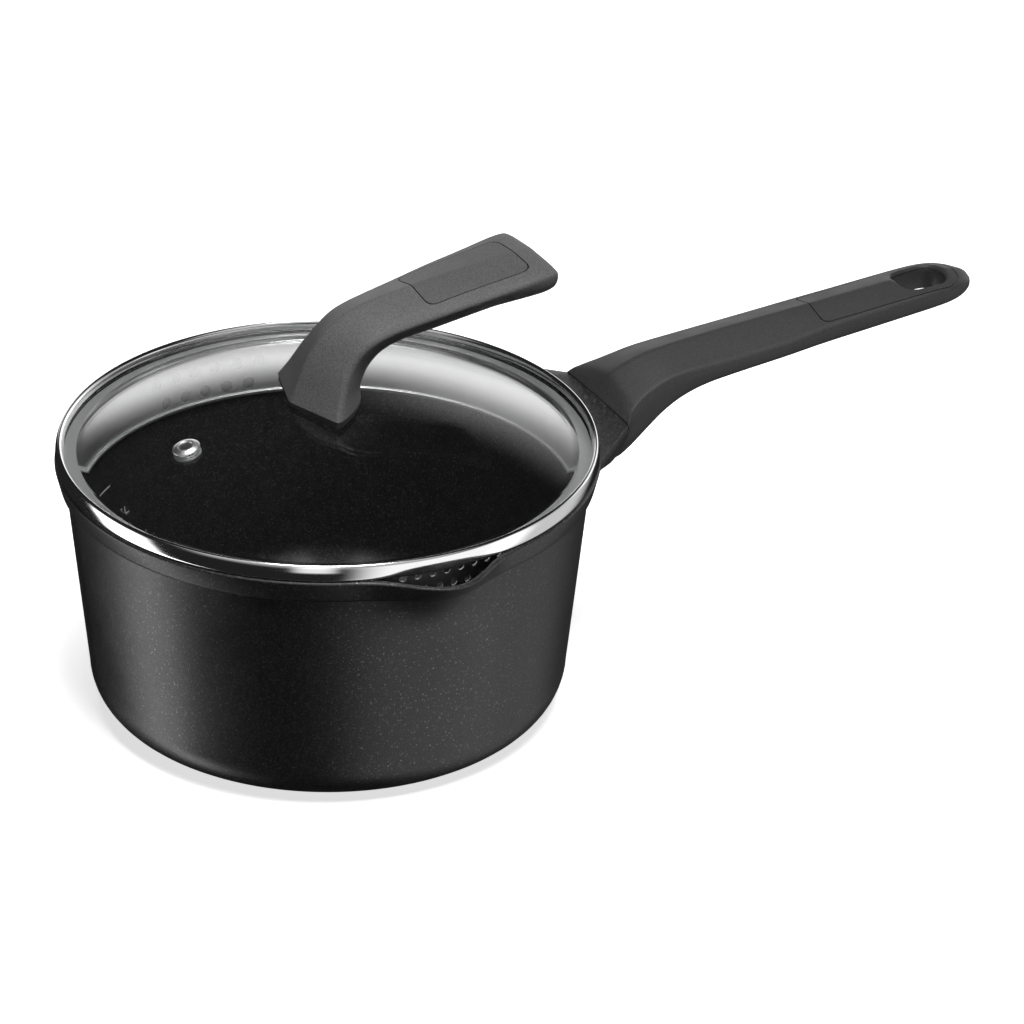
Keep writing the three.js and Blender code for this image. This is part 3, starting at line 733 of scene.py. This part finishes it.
# Sections: x and z of the ridge, of the shoulder and of the bottom, half width, how far the sides
# are a full U, and the roof's crown.
KNOB = [
    (-16.6, FOOT, -9, FOOT, 12, FOOT, 24.4, 0, 0),
    (-14, 133.2, -6.1, 134, 11.6, 132.6, 21, 0.15, 0),
    (-11.6, 139.3, -2.9, 141, 12.8, 137, 18.4, 0.45, 0),
    (-8.8, 144.7, 0.4, 146, 14.6, 140.6, 16.9, 0.75, 0),
    (-4.4, 150.8, 4.6, 150.4, 17.4, 143.9, 16.6, 0.95, 0.2),
    (1.2, 155.7, 9.8, 153.7, 21.4, 146.1, 16.8, 1, 0.4),
    (9.3, 160, 16.2, 155.8, 26, 147.4, 17, 1, 0.6),
    (20, 162.6, 24.5, 157.5, 32, 148.4, 17.4, 1, 0.7),
    (34, 164.3, 36, 159.5, 41, 149.5, 18.2, 1, 0.7),
    (52, 166.4, 53, 162.4, 56, 152, 19.6, 1, 0.65),
    (70, 168, 71, 165, 72, 154.4, 20.6, 1, 0.6),
    (80, 168.8, 80.5, 166.4, 81, 155.8, 21, 1, 0.6),
    (85.6, 169, 86, 166.9, 86, 157.2, 20.7, 1, 0.5),
    (87.4, 168.4, 87.8, 166.5, 87.4, 158.2, 19.9, 1, 0.4),
]
END_START, END_LENGTH = 62, 22  # along the shoulder, where KNOB_END_SIDE takes over


def knob_loft(name):
    """The knob's skin. Its sides grow steeper towards the end."""
    rings = []
    steps = 7
    for k in range((len(KNOB) - 1) * steps + 1):
        rx, rz, sx, sz, bx, bz, half, grip, crown = spline(KNOB, k / steps)
        end = min(max((sx - END_START) / END_LENGTH, 0), 1)
        side = [(a + (c - a) * end, b + (d - b) * end)
                for (a, b), (c, d) in zip(KNOB_U_SIDE, KNOB_END_SIDE)]
        ring = bar_ring(rx, rz, sx, sz, bx, bz, half, min(max(grip, 0), 1), crown, side)
        rings.append([(x, y, max(z, FOOT)) for x, y, z in ring])
    return loft(name, rings)


def knob_outline(margin):
    end, near, far = 43.8 + margin, 12.9 + margin, 14.2 + margin
    return rounded([(-margin, -near), (end, -far), (end, far), (-margin, near)], [4, 5, 5, 4], 8)


def build_knob():
    recess = prism("recess", knob_outline(GROOVE), -0.3, 20)
    insert_bore = lathe("insert_bore", [(0, 120), (4.8, 120), (4.8, 141.2), (0, 141.2)], 32)
    knob = combine(knob_loft("knob_skin"), "DIFFERENCE",
                   tilted(recess, KNOB_SLOPE, *KNOB_INLAY_START), insert_bore)
    bevel(knob)
    finish_piece(turned(knob, KNOB_TURN), "lid", "bakelite", KNOB_GRIP, "knob_body")
    outline = prism("outline", knob_outline(0), 0, 20)
    panel = combine(knob_loft("knob_panel"), "INTERSECT",
                    tilted(outline, KNOB_SLOPE, *KNOB_INLAY_START))
    bevel(panel)
    finish_piece(turned(panel, KNOB_TURN), "lid", "bakelite_panel", KNOB_PANEL, "knob_inlay")


build_pan()
build_scale()
build_handle()
build_glass()
build_vent()
build_rim()
build_skirt()
build_knob()

CAD_FINISH = {
    "induction_base": PLATE, "handle_screw": PLATE, "handle_washer": PLATE, "knob_screw": PLATE,
    "knob_washer": SATIN, "knob_insert": BRASS, "knob_gasket": RUBBER, "knob_seal": RUBBER,
}
for node, material in CAD_FINISH.items():
    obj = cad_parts[node]
    obj.data.materials.clear()
    obj.data.materials.append(material)
    smooth(obj, 30)


# ---------------------------------------------------------------- studio
# Bright panels of the surroundings: turn and half spread in degrees, from low to high above the
# horizon, softness of the edges in degrees, and strength.
PANELS = [
    (168, 36, -3, 14, 8, 1.6),
    (148, 26, 6, 26, 9, 0.7),
    (0, 170, 78, 92, 7, 1.6),
    (-90, 12, -65, 4, 8, 3.3),
    (52, 34, -65, 20, 11, 1.05),
    (105, 24, -65, 20, 14, 0.6),
    (0, 75, 42, 74, 10, 0.6),
    (0, 55, 16, 44, 10, 0.3),
    (-3, 6, -14, 45, 5, 0.9),
]
BETWEEN_PANELS = 0.015
FLOOR_GLOW = 0.7
FLOOR_HALF, FLOOR_THICK = 6000, 12
FLOOR_GAP = 0.0001              # metres below the base
LAMP_AIM = Vector((0.03, 0, 0.12))


def compass(turn, height=0.0):
    """A direction: turn is degrees to the camera's right, starting from the camera's own side."""
    toward = Vector((-math.sin(HEADING), -math.cos(HEADING), 0))
    right = Vector((math.cos(HEADING), -math.sin(HEADING), 0))
    a, e = math.radians(turn), math.radians(height)
    return math.cos(e) * (math.cos(a) * toward + math.sin(a) * right) + Vector((0, 0, math.sin(e)))


def backdrop(tree, turn, spread, low, high, soft, strength):
    """One row of PANELS, as a value for each direction."""
    def node(kind, **values):
        made = tree.nodes.new(kind)
        for key, value in values.items():
            setattr(made, key, value)
        return made

    def fade(value, start, end):
        made = node("ShaderNodeMapRange", interpolation_type="SMOOTHSTEP")
        made.inputs["From Min"].default_value = start
        made.inputs["From Max"].default_value = end
        tree.links.new(value, made.inputs["Value"])
        return made.outputs["Result"]

    place = node("ShaderNodeTexCoord")
    flat = node("ShaderNodeVectorMath", operation="MULTIPLY")
    flat.inputs[1].default_value = (1, 1, 0)
    tree.links.new(place.outputs["Generated"], flat.inputs[0])
    unit = node("ShaderNodeVectorMath", operation="NORMALIZE")
    tree.links.new(flat.outputs["Vector"], unit.inputs[0])
    facing = node("ShaderNodeVectorMath", operation="DOT_PRODUCT")
    facing.inputs[1].default_value = compass(turn)
    tree.links.new(unit.outputs["Vector"], facing.inputs[0])
    height = node("ShaderNodeSeparateXYZ")
    tree.links.new(place.outputs["Generated"], height.inputs[0])
    outer = math.cos(math.radians(spread + soft))
    inner = math.cos(math.radians(max(spread - soft, 0)))
    parts = [fade(facing.outputs["Value"], outer, inner)]
    for edge, way in ((low, 1), (high, -1)):
        start, end = (math.sin(math.radians(max(min(edge + side * way * soft, 90), -90)))
                      for side in (-1, 1))
        parts.append(fade(height.outputs["Z"], start, end))
    total = parts[0]
    for part in parts[1:]:
        product = node("ShaderNodeMath", operation="MULTIPLY")
        tree.links.new(total, product.inputs[0])
        tree.links.new(part, product.inputs[1])
        total = product.outputs["Value"]
    bright = node("ShaderNodeMath", operation="MULTIPLY")
    tree.links.new(total, bright.inputs[0])
    bright.inputs[1].default_value = strength
    return bright.outputs["Value"]


def studio():
    """A backdrop that gives reflections only, and a floor that neither lights nor is mirrored."""
    scene = bpy.context.scene
    scene.view_settings.view_transform = "Standard"
    scene.view_settings.look = "None"
    scene.render.film_transparent = False
    world = bpy.data.worlds.new("studio")
    scene.world = world
    world.use_nodes = True
    world.cycles_visibility.diffuse = False
    tree = world.node_tree
    total = None
    for row in PANELS:
        add = tree.nodes.new("ShaderNodeMath")
        add.inputs[0].default_value = BETWEEN_PANELS
        if total is not None:
            tree.links.new(total, add.inputs[0])
        tree.links.new(backdrop(tree, *row), add.inputs[1])
        total = add.outputs["Value"]
    tree.links.new(total, tree.nodes["Background"].inputs["Strength"])
    tree.nodes["Background"].inputs["Color"].default_value = (1, 1, 1, 1)
    floor, tree, bsdf = shader("floor", (0.94, 0.94, 0.94), 0.75, 0.0, Specular_IOR_Level=0.1)
    tone = ramp(tree, noise(tree, coordinates(tree), 40), [(0.3, 0.93), (0.7, 0.95)])
    tree.links.new(tone, bsdf.inputs["Base Color"])
    bsdf.inputs["Emission Color"].default_value = (1, 1, 1, 1)
    bsdf.inputs["Emission Strength"].default_value = FLOOR_GLOW
    half = FLOOR_HALF
    corners = [(-half, -half), (half, -half), (half, half), (-half, half)]
    plane = prism("floor", corners, -FLOOR_THICK, 0)
    plane.data.transform(Matrix.Translation((0, 0, -FLOOR_GAP)))
    plane.data.materials.append(floor)
    plane.visible_glossy = False
    plane.visible_diffuse = False


def lamp(name, kind, direction, distance, energy, mirrored=False, **values):
    """A lamp that only lights the object, unless it is mirrored in the metal and glass too."""
    data = bpy.data.lights.new(name, kind)
    data.energy = energy
    for key, value in values.items():
        setattr(data, key, value)
    light = bpy.data.objects.new(name, data)
    bpy.context.collection.objects.link(light)
    light.visible_glossy = light.visible_transmission = mirrored
    aim = direction.to_track_quat("Z", "Y").to_matrix().to_4x4()
    light.matrix_world = Matrix.Translation(LAMP_AIM + distance * direction) @ aim


studio()
lamp("overhead", "SUN", compass(0, 88), 3, 1.3, True, angle=math.radians(24))
lamp("key", "AREA", compass(20, 67), 0.75, 8.6, shape="RECTANGLE", size=0.4, size_y=0.4)
lamp("bounce", "SUN", compass(30, -60), 3, 0.15, use_shadow=False)
